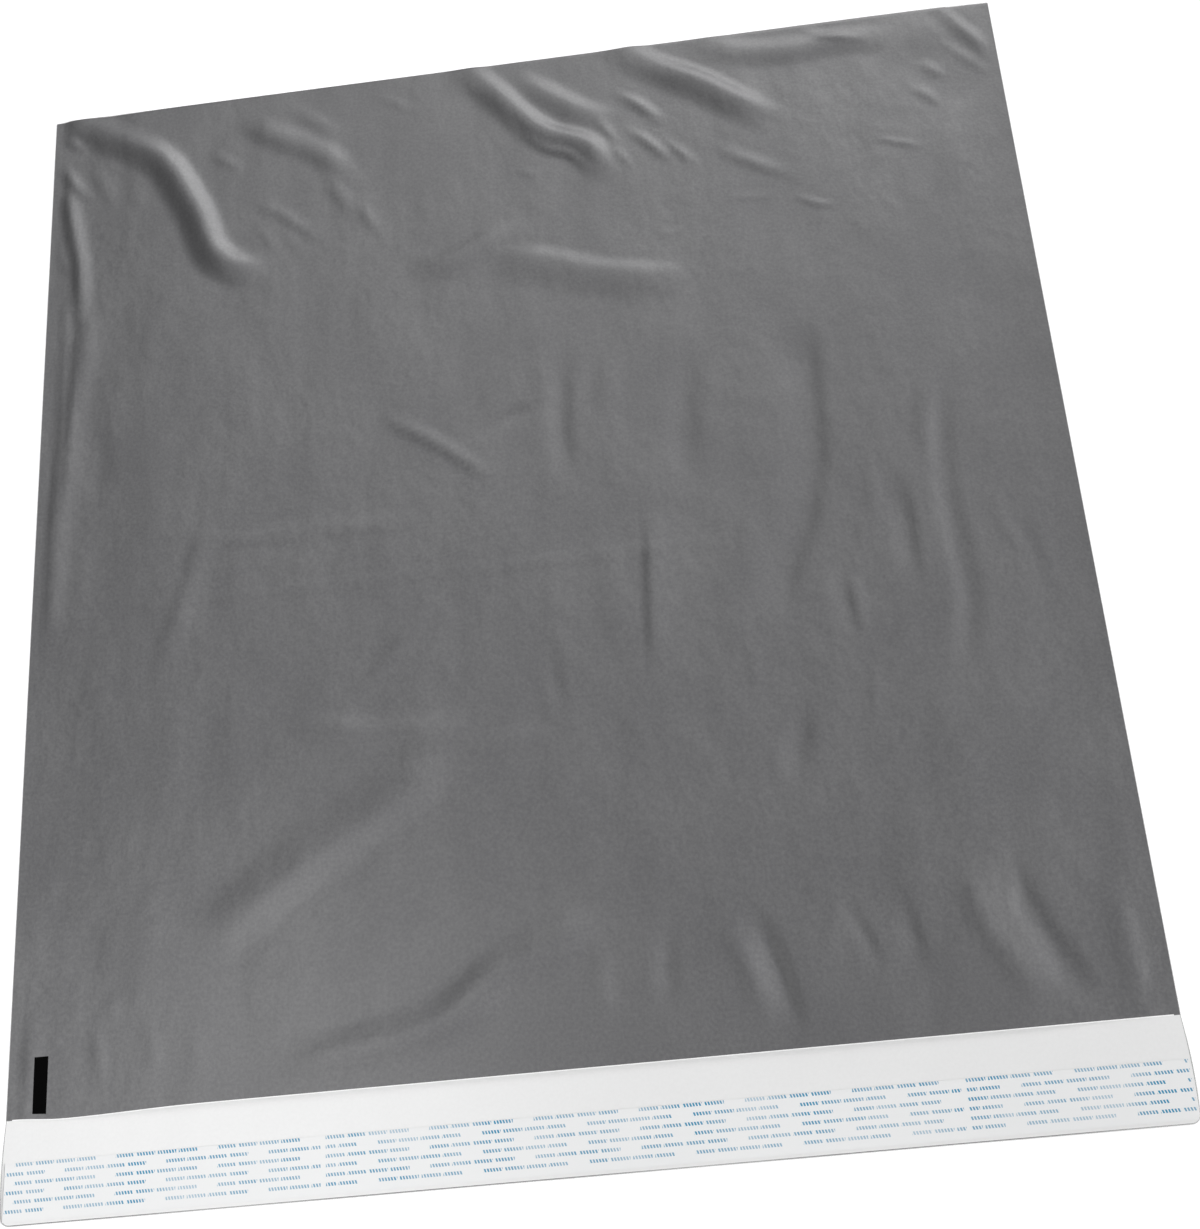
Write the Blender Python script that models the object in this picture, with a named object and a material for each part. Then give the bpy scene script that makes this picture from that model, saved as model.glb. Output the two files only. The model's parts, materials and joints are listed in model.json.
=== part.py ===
"""Poly mailer, 24 x 24 in with a 2 in flap, lying flat on its back panel with the flap open.

One web of film is folded across the bottom, welded to itself down both sides and left open at
the mouth, where the back panel runs on as the flap. A band of adhesive lies on the inside of the
flap, under its release liner. Metres, +Z up, +X to the right, the flap towards -Y. The origin is
under the middle of the whole mailer, on the surface that it lies on.
"""

import math

import bmesh
import bpy
import numpy as np
from mathutils import Vector
from mathutils.geometry import delaunay_2d_cdt

# The film sheet
PANEL_W = 0.610
PANEL_L = 0.620
FILM_T = 0.000064
SEAL_W = 0.003
FOLD_GAP = 0.0008
FOLD_STEPS = 4

# The flap
FLAP_L = 0.051
FLAP_CORNER_R = 0.004
FLAP_BULGE = 0.001
FLAP_LIFT = 0.0009
FLAP_LEAST_LIFT = 0.4
FLAP_WAVE = 0.240
FLAP_ROWS_AT = (0.35, 0.7, 1)

# What the flap carries
LAYER_GAP = 0.00005
ADHESIVE_W = 0.019
ADHESIVE_T = 0.0001
ADHESIVE_INSET = 0.003
LINER_W = 0.0285
LINER_T = 0.00005
LINER_INSET = 0.0005
LINER_TO_EDGE = 0.0015

# The black registration mark, from the left side and from the mouth
MARK_W = 0.0075
MARK_L = 0.028
MARK_FROM_SIDE = 0.014
MARK_FROM_MOUTH = 0.003

# How loosely the front panel lies
WELD_SLOPE_L = 0.009
LOFT = 0.0018
LOFT_SLOPE_L = 0.090
LOFT_END_L = 0.080
LOFT_AT_ENDS = 0.7
LEAST_GAP = 0.0003
FOLD_FADE_L = 0.035
EDGE_CALM_L = 0.030
EDGE_CALM = 0.45

# Spacing of the front panel's points
CREST_STEP = 0.010
POINTS_APART = 0.0054
OPEN_STEP = 0.022
OPEN_APART = 0.0136
STATION_STEP = 0.0145
FLAP_STEP = 0.026

# Where things come to in Y
FLAP_EDGE_Y = -(PANEL_L + FLAP_L) / 2
MOUTH_Y = FLAP_EDGE_Y + FLAP_L
BOTTOM_Y = MOUTH_Y + PANEL_L
FOLD_Y = BOTTOM_Y - FOLD_GAP / 2 - FILM_T
SEAL_X = PANEL_W / 2 - SEAL_W

# The folds of the front panel. Each has its height, the width of the flank on the left of its
# route, the width of the flank on the right, and the route of its crest. All are millimetres on
# a panel of the drawn size, with x from the middle and y from the mouth. A fold with a height
# below zero is a valley, and its route is the bottom of it.
DRAWN_MM = 0.001
DRAWN_W = 610
DRAWN_L = 620
FOLDS = (
    # The long gather out of the upper left corner
    (4.3, 10, 17, ((-312, 634), (-268, 606), (-232, 582), (-208, 541), (-193, 504), (-160, 486))),
    (1.3, 5, 5, ((-306, 612), (-295, 604), (-282, 593))),
    (1.6, 6, 6, ((-304, 592), (-292, 573), (-280, 555))),
    (0.5, 9, 8, ((-282, 588), (-270, 566), (-262, 545))),
    # The loose run beside the left weld
    (1.9, 8, 8, ((-299, 580), (-290, 538), (-284, 505), (-282, 462))),
    (1.0, 13, 8, ((-281, 486), (-282, 440), (-287, 390), (-293, 320), (-299, 250))),
    (0.6, 4, 4, ((-303, 532), (-296, 514), (-290, 500))),
    (0.6, 3.5, 3.5, ((-293, 500), (-292, 430), (-294, 360), (-298, 300))),
    (-0.5, 12, 14, ((-270, 412), (-267, 372), (-270, 334))),
    # Soft gathers between the left corner and the middle
    (0.6, 6, 5, ((-202, 584), (-190, 573), (-176, 562))),
    (1.7, 12, 14, ((-186, 606), (-152, 585), (-124, 568), (-104, 540))),
    (0.8, 7, 9, ((-158, 614), (-134, 598), (-112, 576))),
    (0.6, 5, 5, ((-94, 612), (-79, 601), (-62, 588))),
    (0.7, 6, 6, ((-176, 543), (-152, 527), (-122, 500))),
    (0.4, 5, 4, ((-174, 530), (-160, 508), (-150, 494))),
    (0.4, 5, 4, ((-158, 524), (-146, 506), (-134, 488))),
    (0.8, 7, 8, ((-130, 558), (-117, 540), (-105, 517))),
    (0.7, 6, 5, ((-106, 534), (-97, 517), (-88, 500))),
    # The steep gathers that hang from the bottom fold
    (3.0, 5.5, 12, ((-42, 634), (-14, 602), (14, 568), (38, 555), (48, 546), (57, 520))),
    (0.9, 4, 4, ((0, 567), (16, 552), (34, 543), (48, 522))),
    (2.2, 8, 13, ((-6, 614), (22, 592), (42, 577), (66, 566))),
    (0.8, 4, 4, ((47, 576), (56, 560), (65, 544))),
    (0.6, 4, 4, ((56, 552), (64, 540), (72, 526))),
    (1.3, 5, 6, ((62, 589), (78, 576), (96, 556))),
    (1.2, 5, 5, ((66, 561), (79, 550), (99, 526))),
    (0.8, 4, 4, ((90, 551), (101, 537), (112, 522))),
    (3.2, 6, 19, ((56, 639), (86, 609), (118, 588), (143, 569), (166, 550))),
    (0.7, 8, 6, ((116, 542), (146, 522), (176, 506))),
    (0.6, 3, 3, ((164, 499), (178, 490), (196, 484))),
    (2.6, 9, 11, ((112, 626), (140, 610), (175, 605), (210, 607), (248, 604))),
    (1.3, 5, 5, ((178, 622), (198, 610), (230, 602))),
    # The upper right corner
    (2.0, 3.5, 14, ((258, 634), (276, 612), (300, 585), (316, 568))),
    (1.4, 14, 44, ((252, 644), (262, 612), (276, 586))),
    (0.7, 5, 5, ((256, 584), (264, 574), (272, 566))),
    (0.7, 5, 5, ((246, 566), (256, 558), (266, 546))),
    (0.8, 14, 12, ((277, 556), (267, 520), (257, 476))),
    (0.3, 12, 8, ((247, 550), (238, 510), (231, 475))),
    # The two shallow curves that meet above the middle
    (1.3, 8, 8, ((-80, 482), (-48, 481), (-20, 493), (8, 499))),
    (2.0, 10, 14, ((-30, 476), (5, 475), (45, 461), (104, 448))),
    (1.2, 4, 6, ((-97, 383), (-61, 360), (-22, 328))),
    (-1.0, 6, 7, ((-40, 355), (-20, 369), (10, 376))),
    (0.5, 7, 7, ((-208, 311), (-140, 312), (-68, 310))),
    # Upright waves over the right half
    (-0.7, 9, 12, ((20, 416), (15, 370), (16, 318))),
    (0.6, 12, 10, ((56, 412), (45, 388), (38, 360))),
    (0.5, 14, 14, ((34, 296), (38, 250), (41, 212))),
    (1.0, 20, 5, ((62, 306), (59, 260), (56, 200))),
    (-0.9, 14, 14, ((100, 412), (88, 372), (84, 310))),
    (0.5, 10, 8, ((124, 314), (117, 285), (113, 250))),
    (-1.2, 12, 22, ((164, 414), (161, 370), (159, 325), (151, 290), (137, 260), (126, 224))),
    (-0.7, 6, 10, ((163, 264), (166, 235), (170, 203))),
    (0.5, 7, 7, ((192, 334), (190, 300), (185, 264))),
    (-0.8, 6, 12, ((203, 312), (206, 272), (205, 232))),
    (0.7, 10, 9, ((238, 384), (226, 348), (219, 306))),
    (-0.9, 9, 7, ((239, 358), (233, 322), (231, 290), (233, 255), (234, 226), (222, 186))),
    (0.4, 5, 5, ((250, 298), (262, 266), (276, 232))),
    (0.4, 10, 7, ((276, 280), (280, 250), (284, 220))),
    (0.3, 10, 8, ((207, 408), (206, 380), (205, 360))),
    (-0.6, 8, 12, ((140, 182), (133, 158), (124, 130))),
    (0.7, 12, 10, ((-195, 330), (-208, 292), (-226, 234))),
    # The broad slanting folds over the lower left
    (2.2, 18, 16, ((-50, 168), (-72, 161), (-131, 126), (-155, 110), (-204, 77))),
    (1.2, 12, 12, ((-156, 199), (-110, 188), (-38, 184))),
    (0.7, 10, 10, ((6, 172), (-28, 175), (-62, 165))),
    (0.5, 8, 8, ((-60, 270), (-90, 232), (-128, 195))),
    (2.8, 18, 12, ((26, 76), (4, 69), (-20, 61), (-42, 51), (-62, 35), (-84, 26), (-112, 20), (-162, 12))),
    # Ripples along the mouth
    (0.7, 15, 7, ((-298, 66), (-296, 30), (-294, -20))),
    (0.4, 6, 6, ((-260, 50), (-256, 30), (-254, 10))),
    (0.3, 6, 6, ((-230, 50), (-226, 30), (-224, 10))),
    (0.3, 6, 6, ((-206, 44), (-203, 26), (-202, 8))),
    (0.6, 9, 5, ((15, 66), (14, 42), (14, 16))),
    (-0.7, 7, 8, ((52, 70), (50, 45), (47, 18))),
    (0.5, 8, 8, ((80, 72), (90, 46), (98, 16))),
    (-1.7, 7, 14, ((95, 78), (106, 48), (113, 20), (116, 2))),
    (-0.5, 4, 5, ((142, 78), (150, 62), (157, 45), (161, 30))),
    (-0.4, 5, 12, ((173, 76), (179, 52), (181, 28))),
    (1.2, 14, 12, ((209, 90), (216, 56), (230, 30), (246, 6))),
    (-1.1, 9, 12, ((232, 92), (240, 58), (256, 26), (270, 4))),
    (0.6, 8, 12, ((282, 80), (287, 40), (290, -20))),
)


def smooth(share):
    """0 below 0, 1 above 1, and a smooth S between them."""
    share = np.clip(share, 0, 1)
    return share * share * (3 - 2 * share)


def through(route, steps=6):
    """A smooth curve through the points of a route, as a Catmull-Rom spline."""
    points = np.array(route, float)
    points = np.vstack([2 * points[0] - points[1], points, 2 * points[-1] - points[-2]])
    share = np.linspace(0, 1, steps, endpoint=False)[:, None]
    spans = []
    for a, b, c, d in zip(points, points[1:], points[2:], points[3:]):
        bend = 2 * b + (c - a) * share + (2 * a - 5 * b + 4 * c - d) * share**2
        spans.append((bend + (3 * b - a - 3 * c + d) * share**3) / 2)
    return np.vstack([*spans, points[-2:-1]])


def crest_of(route):
    """The route's curve on the panel as built, in metres, x from the middle, y from the mouth."""
    return through(route) * (PANEL_W / DRAWN_W, PANEL_L / DRAWN_L)


def fold_rise(x, y, fold):
    """The rise of one fold over points: an S down each flank, faded out at the route's two ends."""
    height, left, right, route = fold
    curve = crest_of(route)
    start, run = curve[:-1], np.diff(curve, axis=0)
    length = np.hypot(run[:, 0], run[:, 1])
    away_x, away_y = x[:, None] - start[:, 0], y[:, None] - start[:, 1]
    along = np.clip((away_x * run[:, 0] + away_y * run[:, 1]) / length**2, 0, 1)
    off_x, off_y = away_x - along * run[:, 0], away_y - along * run[:, 1]
    off = np.hypot(off_x, off_y)
    nearest = (np.arange(len(x)), off.argmin(axis=1))
    on_left = (run[:, 0] * off_y - run[:, 1] * off_x)[nearest] > 0
    flank = np.where(on_left, left, right) * DRAWN_MM
    gone = (np.cumsum(length) - length + along * length)[nearest]
    fade = np.minimum(gone, length.sum() - gone) / min(FOLD_FADE_L, length.sum() / 2)
    return height * DRAWN_MM * smooth(1 - off[nearest] / flank) * smooth(fade)


def panel_rise(x, y):
    """How far the front panel stands off the back one. It is nothing at the side welds."""
    from_weld, from_ends = SEAL_X - np.abs(x), np.minimum(y, FOLD_Y - MOUTH_Y - y)
    at_ends = LOFT_AT_ENDS + (1 - LOFT_AT_ENDS) * smooth(from_ends / LOFT_END_L)
    rise = (LOFT * at_ends + FOLD_GAP / 2) * smooth(from_weld / LOFT_SLOPE_L)
    calm = EDGE_CALM + (1 - EDGE_CALM) * smooth(from_ends / EDGE_CALM_L)
    for fold in FOLDS:
        rise = rise + fold_rise(x, y, fold) * calm
    rise = (rise + np.sqrt(rise**2 + LEAST_GAP**2)) / 2
    return rise * smooth(from_weld / WELD_SLOPE_L)


def stations(start, end, step):
    return np.linspace(start, end, max(2, round(abs(end - start) / step) + 1))


def mark_corners():
    left = -PANEL_W / 2 + MARK_FROM_SIDE
    right, near, far = left + MARK_W, MARK_FROM_MOUTH, MARK_FROM_MOUTH + MARK_L
    return [(left, near), (right, near), (right, far), (left, far)]


def fold_points(fold):
    """Points along the crest of a fold, then along its feet and half way up its flanks."""
    _, left, right, route = fold
    crest = crest_of(route)
    walked = np.concatenate([[0], np.cumsum(np.hypot(*np.diff(crest, axis=0).T))])
    at = stations(0, walked[-1], CREST_STEP)
    line = np.column_stack([np.interp(at, walked, crest[:, 0]), np.interp(at, walked, crest[:, 1])])
    turn = np.gradient(line, axis=0)
    across = np.column_stack([-turn[:, 1], turn[:, 0]]) / np.hypot(*turn.T)[:, None] * DRAWN_MM
    return np.vstack([line + offset * across for offset in (0, left, -right, left / 2, -right / 2)])


def open_points(length):
    """A staggered lattice over the whole panel, for where no fold runs."""
    xs = stations(-SEAL_X, SEAL_X, OPEN_STEP)
    rows = stations(0, length, OPEN_STEP * math.sqrt(3) / 2)[1:-1]
    shift = (xs[1] - xs[0]) / 2
    return np.array([(x + row % 2 * shift, y) for row, y in enumerate(rows) for x in xs[:-1]])


def panel_points(side, mouth):
    """The front panel's points: its edge, the mark, the folds by height, and the lattice between."""
    length = side[-1]
    chosen = [(x, y) for y in (0, length) for x in mouth]
    chosen += [(x, y) for x in (-SEAL_X, SEAL_X) for y in side[1:-1]]
    chosen += mark_corners()
    for points, apart in (
        *((fold_points(fold), POINTS_APART) for fold in sorted(FOLDS, key=lambda fold: -abs(fold[0]))),
        (open_points(length), OPEN_APART),
    ):
        for x, y in points:
            inside = min(SEAL_X - abs(x), y, length - y) > apart / 2
            if inside and np.hypot(*(np.array(chosen) - (x, y)).T).min() > apart:
                chosen.append((x, y))
    return chosen


class Film:
    """Faces gathered from several surfaces, which are sewn where their points meet."""

    SEWN_WITHIN = 0.000001

    def __init__(self):
        self.points, self.faces, self.materials = [], [], []

    def add(self, points, faces, material, flip=False):
        first = len(self.points)
        self.points.extend(tuple(map(float, point)) for point in points)
        for face in faces:
            face = [first + index for index in face]
            self.faces.append(face[::-1] if flip else face)
            self.materials.append(material)

    def grid(self, rows, material, flip=False):
        """Quads over rows of points, facing +Z where columns run to +X and rows to +Y."""
        rows = np.array(rows)
        high, wide = rows.shape[:2]
        faces = [
            (r * wide + c, r * wide + c + 1, (r + 1) * wide + c + 1, (r + 1) * wide + c)
            for r in range(high - 1)
            for c in range(wide - 1)
        ]
        self.add(rows.reshape(-1, 3), faces, material, flip)

    def outline(self, points, material, flip=False):
        self.add(points, [range(len(points))], material, flip)

    def make(self, name, materials):
        mesh = bpy.data.meshes.new(name)
        mesh.from_pydata(self.points, [], self.faces)
        for material in materials:
            mesh.materials.append(material)
        mesh.polygons.foreach_set("material_index", self.materials)
        sewn = bmesh.new()
        sewn.from_mesh(mesh)
        bmesh.ops.remove_doubles(sewn, verts=sewn.verts, dist=self.SEWN_WITHIN)
        sewn.to_mesh(mesh)
        sewn.free()
        made = bpy.data.objects.new(name, mesh)
        bpy.context.collection.objects.link(made)
        return made


def line_at(xs, y, z):
    """Points along X at one y and z, each a number or a list as long as xs."""
    return np.column_stack(np.broadcast_arrays(xs, y, z))


def flap_lift(x, share):
    """The flap rises evenly from the mouth to its free edge, by an amount that waves along X."""
    wave = (1 + np.sin(2 * math.pi * x / FLAP_WAVE)) / 2
    return FLAP_LIFT * (FLAP_LEAST_LIFT + (1 - FLAP_LEAST_LIFT) * wave) * share


def flap_rows(xs):
    """Rows of the flap's underside from its free edge to the mouth, with two round corners."""
    turns = np.radians([90, 60, 30, 0])
    rows = [(FLAP_CORNER_R * (1 - math.sin(a)), FLAP_CORNER_R * (1 - math.cos(a))) for a in turns]
    rows += [(FLAP_L * share, 0) for share in FLAP_ROWS_AT]
    made = []
    for from_edge, inset in rows:
        share = 1 - from_edge / FLAP_L
        half = PANEL_W / 2 + FLAP_BULGE * math.sin(math.pi * share) - inset
        row = xs * half / (PANEL_W / 2)
        made.append(line_at(row, FLAP_EDGE_Y + from_edge, flap_lift(xs, share)))
    return np.array(made)


def film_bag(outside, inside, ink):
    """The whole web: front panel, bottom fold, back panel and flap, and the two side welds."""
    grey, white, black = 0, 1, 2
    side = stations(0, FOLD_Y - MOUTH_Y, STATION_STEP)
    mouth = stations(-SEAL_X, SEAL_X, STATION_STEP)
    flap_xs = np.array([-PANEL_W / 2, *stations(-SEAL_X, SEAL_X, FLAP_STEP), PANEL_W / 2])
    wide = np.array([-PANEL_W / 2, *mouth, PANEL_W / 2])
    film = Film()

    # Front panel, outside and underside
    corners = mark_corners()
    points = panel_points(side, mouth)
    first = points.index(corners[0])
    mark_edges = [(first + k, first + (k + 1) % 4) for k in range(4)]
    flat, _, faces, *_ = delaunay_2d_cdt([Vector(p) for p in points], mark_edges, [], 0, 1e-7)
    flat = np.array([tuple(point) for point in flat])
    rise = panel_rise(flat[:, 0], flat[:, 1])
    top = np.column_stack([flat[:, 0], flat[:, 1] + MOUTH_Y, 2 * FILM_T + rise])
    middle = flat[np.array(faces)].mean(axis=1)
    in_mark = np.all((middle > corners[0]) & (middle < corners[2]), axis=1)
    for printed, material in ((False, grey), (True, black)):
        film.add(top, [face for face, ink_here in zip(faces, in_mark) if ink_here == printed], material)
    film.add(top - (0, 0, FILM_T), faces, white, flip=True)

    # Side welds: top, and the three levels of the cut edge
    for sign in (-1, 1):
        edge, inner = sign * PANEL_W / 2, sign * SEAL_X
        rows = [[(x, MOUTH_Y + y, 2 * FILM_T) for x in sorted((edge, inner))] for y in side]
        film.grid(rows, grey)
        levels = [[(edge, MOUTH_Y + y, z) for y in side] for z in (0, FILM_T, 2 * FILM_T)]
        film.grid(levels, grey, flip=sign < 0)
        weld = [[(x, MOUTH_Y, z) for x in sorted((edge, inner))] for z in (FILM_T, 2 * FILM_T)]
        film.grid(weld, white)

    # Rim of the front panel at the mouth
    lip = panel_rise(mouth, np.zeros_like(mouth))
    film.grid([line_at(mouth, MOUTH_Y, level * FILM_T + lip) for level in (1, 2)], white)

    # Bottom fold, outside and inside: half rounds, taller where a gather runs over the edge
    end = FOLD_Y - MOUTH_Y
    gap = np.concatenate([[0], panel_rise(mouth, np.full_like(mouth, end)), [0]])
    turns = np.linspace(math.pi / 2, -math.pi / 2, FOLD_STEPS + 1)
    for wall, columns, material in ((FILM_T, slice(None), grey), (0, slice(1, -1), white)):
        xs, height, centre = wide[columns], gap[columns] / 2 + wall, gap[columns] / 2 + FILM_T
        reach = np.minimum(height, FOLD_GAP / 2 + wall)
        rows = [line_at(xs, FOLD_Y + reach * math.cos(a), centre + height * math.sin(a)) for a in turns]
        film.grid(rows, material, flip=wall == 0)
    for sign in (-1, 1):
        edge = sign * PANEL_W / 2
        ring = [(edge, FOLD_Y + FILM_T * math.cos(a), FILM_T * (1 + math.sin(a))) for a in turns]
        film.outline([*ring, (edge, FOLD_Y, FILM_T)], grey, flip=sign > 0)

    # Back panel, underside and inside
    under = [(x, MOUTH_Y, 0) for x in flap_xs]
    under += [(PANEL_W / 2, MOUTH_Y + y, 0) for y in side[1:-1]]
    under += [(x, FOLD_Y, 0) for x in wide[::-1]]
    under += [(-PANEL_W / 2, MOUTH_Y + y, 0) for y in side[-2:0:-1]]
    film.outline(under, grey, flip=True)
    within = [(x, MOUTH_Y, FILM_T) for x in flap_xs[1:-1]]
    within += [(SEAL_X, MOUTH_Y + y, FILM_T) for y in side[1:-1]]
    within += [(x, FOLD_Y, FILM_T) for x in mouth[::-1]]
    within += [(-SEAL_X, MOUTH_Y + y, FILM_T) for y in side[-2:0:-1]]
    film.outline(within, white)

    # Flap: underside, inside and cut edge
    rows = flap_rows(flap_xs)
    raised = rows + (0, 0, FILM_T)
    film.grid(rows, grey, flip=True)
    film.grid(raised, white)
    film.grid([rows[0], raised[0]], white)
    for column, flip in ((0, True), (-1, False)):
        film.grid([rows[:, column], raised[:, column]], white, flip=flip)
    return film.make("film_bag", (outside, inside, ink))


def band(name, material, inset, from_edge, width, bottom, thickness):
    """A flat band along the flap, its underside a set height over the film and as wavy."""
    half = PANEL_W / 2 - inset
    share = half / (PANEL_W / 2)
    xs = np.array([-PANEL_W / 2, *stations(-SEAL_X, SEAL_X, FLAP_STEP), PANEL_W / 2])
    ends = [(from_edge, 1 - from_edge / FLAP_L), (from_edge + width, 1 - (from_edge + width) / FLAP_L)]
    under = np.array([line_at(xs * share, FLAP_EDGE_Y + y, bottom + flap_lift(xs, s)) for y, s in ends])
    over = under + (0, 0, thickness)
    film = Film()
    film.grid(under, 0, flip=True)
    film.grid(over, 0)
    film.grid([under[0], over[0]], 0)
    film.grid([under[1], over[1]], 0, flip=True)
    film.grid([under[:, 0], over[:, 0]], 0, flip=True)
    film.grid([under[:, -1], over[:, -1]], 0)
    return film.make(name, (material,))


def finish(name, colour, roughness):
    """A plain plastic finish from an sRGB colour of 0 to 255."""
    made = bpy.data.materials.new(name)
    made.use_nodes = True
    shader = made.node_tree.nodes["Principled BSDF"]
    linear = [(c / 255 / 12.92 if c < 11 else ((c / 255 + 0.055) / 1.055) ** 2.4) for c in colour]
    shader.inputs["Base Color"].default_value = (*linear, 1)
    shader.inputs["Roughness"].default_value = roughness
    made.diffuse_color = (*linear, 1)
    return made


def main():
    for old in list(bpy.data.objects):
        bpy.data.objects.remove(old, do_unlink=True)
    outside = finish("grey film", (113, 113, 114), 0.42)
    inside = finish("white film", (236, 236, 235), 0.40)
    ink = finish("black ink", (12, 12, 13), 0.45)
    film_bag(outside, inside, ink)
    glue = finish("hot melt", (226, 220, 200), 0.30)
    paper = finish("siliconised liner", (214, 227, 232), 0.35)
    glue_edge = LINER_TO_EDGE + (LINER_W - ADHESIVE_W) / 2
    glue_z = FILM_T + LAYER_GAP
    band("adhesive_strip", glue, ADHESIVE_INSET, glue_edge, ADHESIVE_W, glue_z, ADHESIVE_T)
    liner_z = glue_z + ADHESIVE_T + LAYER_GAP
    band("release_liner", paper, LINER_INSET, LINER_TO_EDGE, LINER_W, liner_z, LINER_T)


main()
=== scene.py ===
# %% [markdown]
# # A poly mailer, dressed around its frame
#
# The real thing is one web of blown polyethylene film, matte grey outside and white inside. It is
# folded across the bottom, welded down both sides and left open at the mouth, where the back
# panel runs on as a flap. The flap carries a band of hot melt under a printed release liner.
#
# A mailer has hardly any shape of its own: what the eye reads is how the thin film lies. So most
# of this lesson is about one height field, the loose front panel with its gathers and creases,
# and about a light that is low enough to show them.

# %% Load the frame
import json
import math

import bpy
import numpy as np
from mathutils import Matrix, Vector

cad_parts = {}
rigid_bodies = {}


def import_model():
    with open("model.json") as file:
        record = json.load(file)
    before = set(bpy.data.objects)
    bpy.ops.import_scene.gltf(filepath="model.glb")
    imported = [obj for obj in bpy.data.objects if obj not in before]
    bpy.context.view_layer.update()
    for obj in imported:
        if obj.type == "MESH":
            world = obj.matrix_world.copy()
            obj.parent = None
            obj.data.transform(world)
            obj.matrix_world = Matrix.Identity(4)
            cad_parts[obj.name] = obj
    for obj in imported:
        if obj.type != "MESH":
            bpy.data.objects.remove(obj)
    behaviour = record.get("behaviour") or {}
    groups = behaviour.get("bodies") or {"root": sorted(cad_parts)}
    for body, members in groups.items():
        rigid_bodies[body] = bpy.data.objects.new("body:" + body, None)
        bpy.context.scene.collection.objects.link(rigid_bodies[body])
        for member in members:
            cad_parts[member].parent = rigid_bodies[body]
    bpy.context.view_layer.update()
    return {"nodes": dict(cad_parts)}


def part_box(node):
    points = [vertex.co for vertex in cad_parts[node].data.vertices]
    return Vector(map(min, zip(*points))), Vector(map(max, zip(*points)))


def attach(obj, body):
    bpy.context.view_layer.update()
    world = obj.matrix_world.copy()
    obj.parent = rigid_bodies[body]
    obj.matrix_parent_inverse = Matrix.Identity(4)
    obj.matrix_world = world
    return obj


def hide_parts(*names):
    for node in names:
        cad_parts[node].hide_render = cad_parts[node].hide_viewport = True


for old in list(bpy.data.objects):
    bpy.data.objects.remove(old, do_unlink=True)
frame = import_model()
print("nodes:", ", ".join(sorted(frame["nodes"])))

# %% [markdown]
# ## Sizes
#
# The overall sizes come from the frame, so the looks follow the solids. The film's own sizes,
# such as its thickness and the width of the weld, are named here because a box can't tell them.
# Everything is in metres, with the mailer on its back, the mouth and the flap towards -Y.

# %% Sizes from the frame, and the film's own
MM = 0.001
bag_low, bag_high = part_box("film_bag")
liner_low, liner_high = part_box("release_liner")
glue_low, glue_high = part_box("adhesive_strip")

FILM_T = 0.064 * MM
FLAP_L = 51 * MM
FLAP_BULGE = 1 * MM
SEAL_W = 3 * MM
FOLD_GAP = 0.8 * MM

FLAP_EDGE_Y = bag_low.y
MOUTH_Y = FLAP_EDGE_Y + FLAP_L
BOTTOM_Y = bag_high.y
FOLD_Y = BOTTOM_Y - FOLD_GAP / 2 - FILM_T
PANEL_W = round(bag_high.x - bag_low.x - 2 * FLAP_BULGE, 3)
SEAL_X = PANEL_W / 2 - SEAL_W

# %% [markdown]
# ## The camera
#
# The photograph looks down on the mailer from over its mouth, 18 degrees off the vertical and a
# little from the right. The four corners of the panel, whose real distances are known, give
# the camera's place, its turn and its focal length. The picture was cropped off centre, and a
# small shift of the lens makes the same crop.

# %% Camera
IMAGE_W, IMAGE_H = 1200, 1229
FOCAL_PX = 1415.9
AXIS_PX = (661.7, 596.8)
CAMERA_AT = (0.1084, -0.2791, 0.7617)
CAMERA_TURN = (17.350, 4.893, -4.991)

lens = bpy.data.cameras.new("camera")
lens.sensor_width = 36
lens.lens = FOCAL_PX / IMAGE_H * lens.sensor_width
lens.shift_x = (IMAGE_W / 2 - AXIS_PX[0]) / IMAGE_H
lens.shift_y = (AXIS_PX[1] - IMAGE_H / 2) / IMAGE_H
lens.clip_start = 0.01
camera = bpy.data.objects.new("camera", lens)
camera.location = CAMERA_AT
camera.rotation_euler = [math.radians(turn) for turn in CAMERA_TURN]
bpy.context.collection.objects.link(camera)
bpy.context.scene.camera = camera
bpy.context.scene.view_settings.view_transform = "Standard"
print(f"lens {lens.lens:.1f} mm")

# %% [markdown]
# ## Colours and nodes
#
# Colours are written as they are read off a screen, in sRGB hex, and one function turns them to
# the linear values that a shader works in. One more function adds a shader node, sets its
# properties and fills its sockets with numbers, colours or links, so that each material below
# reads as a list of what it is made of.

# %% Helpers for materials
def linear(colour):
    """sRGB hex to linear RGBA: c / 12.92 in the darks, ((c + 0.055) / 1.055) ** 2.4 above."""
    parts = [int(colour[at : at + 2], 16) / 255 for at in (1, 3, 5)]
    return (*[c / 12.92 if c <= 0.04045 else ((c + 0.055) / 1.055) ** 2.4 for c in parts], 1)


def add(tree, kind, inputs=None, **settings):
    """Adds a node. Each input is a number or colour for that socket, or an output to link to it."""
    made = tree.nodes.new("ShaderNode" + kind)
    for name, value in settings.items():
        setattr(made, name, value)
    for socket, value in (inputs or {}).items():
        if isinstance(value, bpy.types.NodeSocket):
            tree.links.new(value, made.inputs[socket])
        else:
            made.inputs[socket].default_value = value
    return made


def new_material(name):
    """A material with nothing but its output, and its node tree."""
    made = bpy.data.materials.new(name)
    made.use_nodes = True
    made.node_tree.nodes.clear()
    print("material", name)
    return made, made.node_tree


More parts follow.
